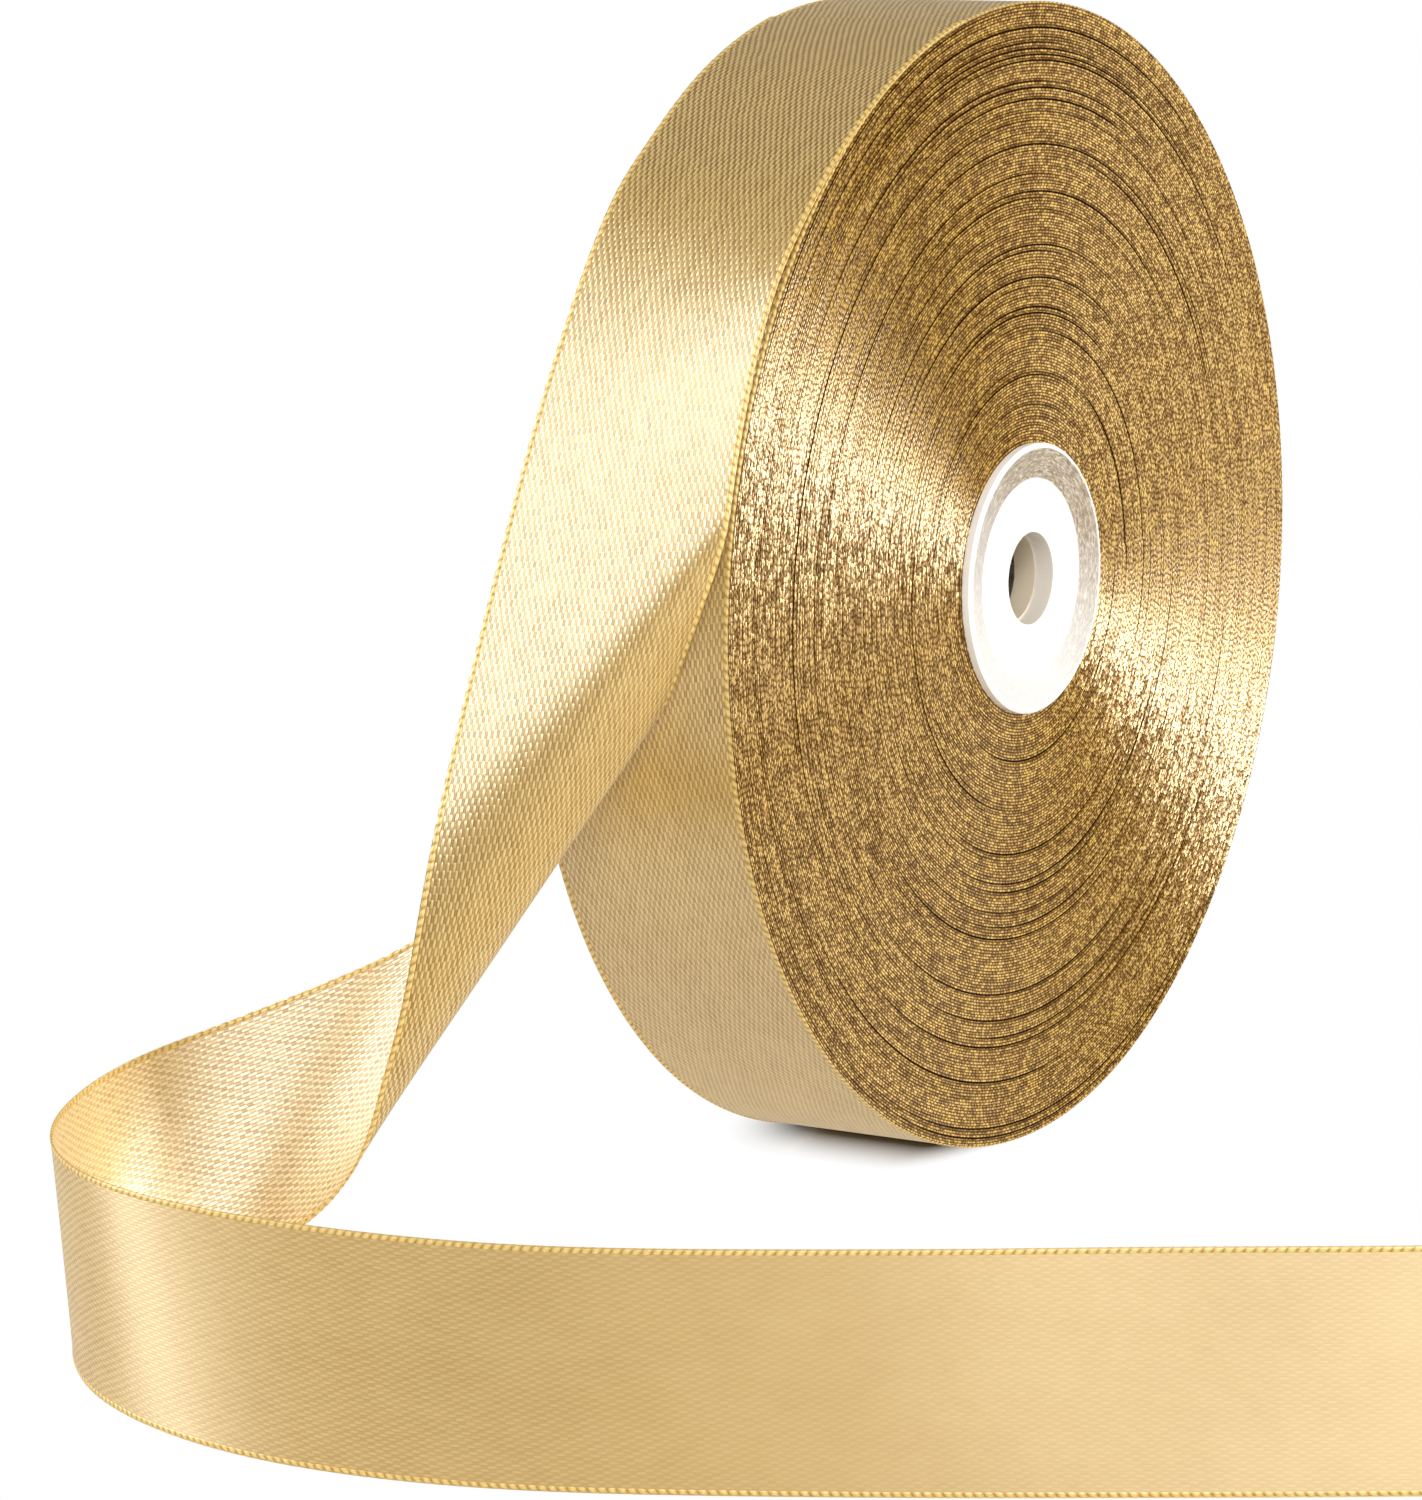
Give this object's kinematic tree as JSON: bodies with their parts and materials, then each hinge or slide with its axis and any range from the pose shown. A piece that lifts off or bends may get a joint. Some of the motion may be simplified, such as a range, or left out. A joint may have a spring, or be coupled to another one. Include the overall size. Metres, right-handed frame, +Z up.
{
  "type": "ribbon spool",
  "caption": "Full roll of narrow satin ribbon wound on a moulded plastic core, standing on its rim, its free end twisting down and curling along the table.",
  "frame": {"origin": "middle of the core's spindle bore, halfway between the two faces of the roll", "axes": "+Y along the spindle bore, from the front face to the back face; +Z up from the table that the roll stands on; the free tail leaves the roll on the -X side"},
  "size_m": [0.2045, 0.1753, 0.1328],
  "materials": {
    "satin": "champagne gold satin weave",
    "core_plastic": "milky white moulded",
    "tape": "double-sided tape"
  },
  "bodies": {
    "tail": {"tail_lead": "satin", "tail_curl": "satin", "tail_fold": "satin", "tail_run": "satin"},
    "roll": {"core_front": "core_plastic", "core_back": "core_plastic", "start_tape": "tape", "ribbon_pack": "satin"}
  },
  "joints": [
    {"name": "roll_turn", "type": "hinge", "parent": "tail", "child": "roll", "pos_m": [0, 0, 0], "axis": [0, 1, 0], "continuous": true}
  ]
}
